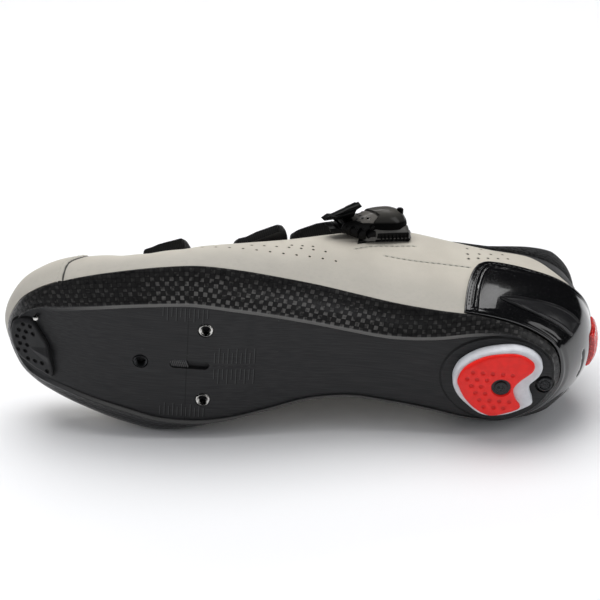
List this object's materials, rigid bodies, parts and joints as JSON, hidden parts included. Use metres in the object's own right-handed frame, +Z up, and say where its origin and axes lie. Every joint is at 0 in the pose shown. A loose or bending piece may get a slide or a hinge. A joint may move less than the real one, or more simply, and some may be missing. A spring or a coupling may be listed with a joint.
{
  "type": "cycling shoe",
  "caption": "Low-cut left cycling shoe with a stiff moulded sole, threaded cleat inserts, heel cup, two straps and a ratchet buckle, lying on its inner side.",
  "frame": {"origin": "centre of the footprint, on the floor the shoe lies on", "axes": "+X from toe to heel, +Y from the sole towards the collar, +Z up towards the outer side of the foot"},
  "size_m": [0.2772, 0.1, 0.0913],
  "materials": {
    "carbon_plate": "matte moulded carbon weave",
    "dark_rubber": "matte",
    "pale_plastic": "satin",
    "red_pad": "satin translucent",
    "steel": "machined",
    "black_steel": "black satin",
    "grey_microfibre": "matte microfibre",
    "black_mesh": "knitted mesh",
    "black_fabric": "woven webbing",
    "glossy_black": "high gloss",
    "matte_black": "satin",
    "insole_foam": "brushed cover"
  },
  "bodies": {
    "root": {"buckle_base": "matte_black", "buckle_cap": "matte_black", "buckle_lever": "matte_black", "cleat_nut_front": "black_steel", "cleat_nut_lateral": "steel", "cleat_nut_medial": "steel", "collar_lining": "black_mesh", "front_strap": "black_fabric", "heel_arm_lateral": "glossy_black", "heel_arm_medial": "glossy_black", "heel_counter": "glossy_black", "heel_pad": "red_pad", "heel_pad_rim": "pale_plastic", "heel_pad_screw": "black_steel", "heel_plug": "dark_rubber", "heel_reflector": "red_pad", "insole": "insole_foam", "instep_strap": "black_fabric", "mid_strap": "black_fabric", "outsole": "carbon_plate", "toe_pad": "dark_rubber", "toe_pad_pin": "steel", "tongue": "black_mesh", "upper": "grey_microfibre"}
  },
  "joints": []
}
